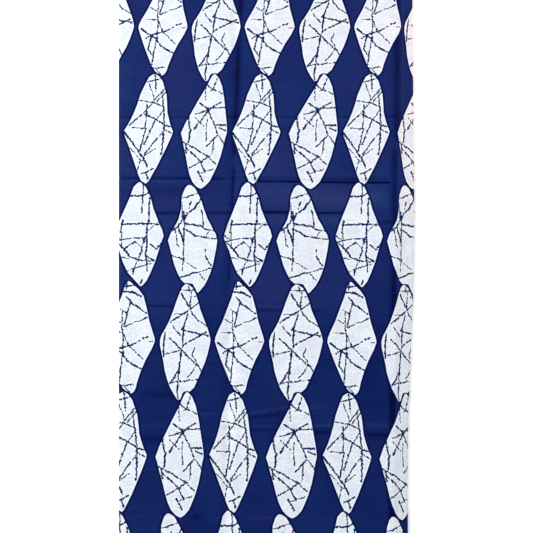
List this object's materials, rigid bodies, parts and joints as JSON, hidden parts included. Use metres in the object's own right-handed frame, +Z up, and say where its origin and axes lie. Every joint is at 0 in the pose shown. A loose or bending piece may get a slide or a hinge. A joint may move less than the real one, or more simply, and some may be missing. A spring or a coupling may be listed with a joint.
{
  "type": "folded length of ankara cloth",
  "caption": "Cut length of printed cotton cloth, folded in half along its length and laid flat, with a soft fold and pressed creases.",
  "frame": {"origin": "centre of the footprint, on the surface the cloth lies on", "axes": "+X across the folded cloth, towards the fold; +Y along its length, the picture's upwards; +Z up from the surface"},
  "size_m": [0.5525, 1, 0.0112],
  "materials": {
    "printed_cotton": "matt printed cotton, navy ground with white crackled lozenges"
  },
  "bodies": {
    "root": {"cloth": "printed_cotton"}
  },
  "joints": []
}
